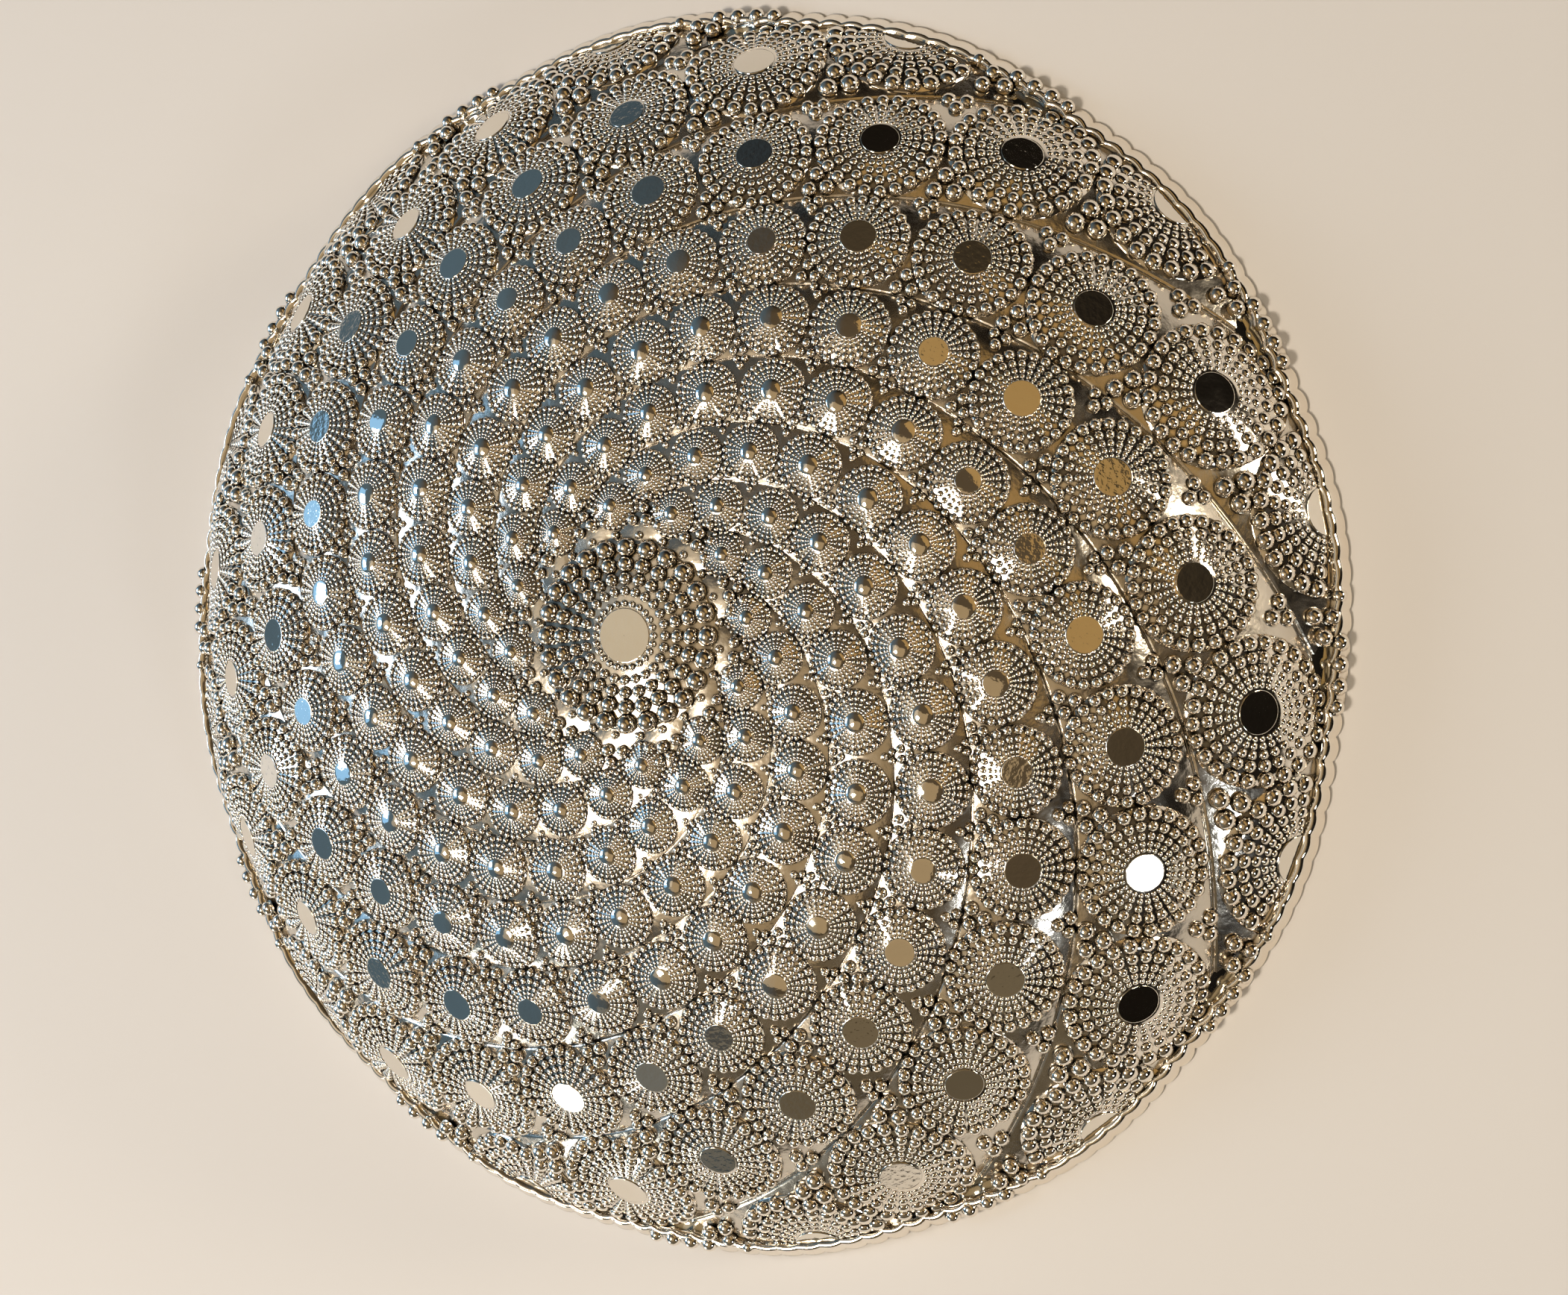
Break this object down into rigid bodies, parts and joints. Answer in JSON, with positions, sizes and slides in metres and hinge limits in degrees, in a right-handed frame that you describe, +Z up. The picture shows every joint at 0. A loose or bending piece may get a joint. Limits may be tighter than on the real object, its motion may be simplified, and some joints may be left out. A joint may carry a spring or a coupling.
{
  "type": "decorative bowl",
  "caption": "Round silvered glass bowl, shown rim down, with a smooth inside and an outside pressed into spiral lobes of beaded rosettes.",
  "frame": {"origin": "centre of the rim's resting plane, on the bowl's axis", "axes": "+Z up through the centre of the dome, +X to the right of the picture; the bowl lies rim down as pictured"},
  "size_m": [0.28, 0.28, 0.0509],
  "materials": {
    "clear_glass": "smooth pressed glass with a mirror coat behind it",
    "silvering": "mirror silver over pressed relief"
  },
  "bodies": {
    "root": {"glass_wall": "clear_glass", "centre_rosette": "silvering", "lobe_01": "silvering", "lobe_02": "silvering", "lobe_03": "silvering", "lobe_04": "silvering", "lobe_05": "silvering", "lobe_06": "silvering", "lobe_07": "silvering", "lobe_08": "silvering", "lobe_09": "silvering", "lobe_10": "silvering", "lobe_11": "silvering", "lobe_12": "silvering"}
  },
  "joints": []
}
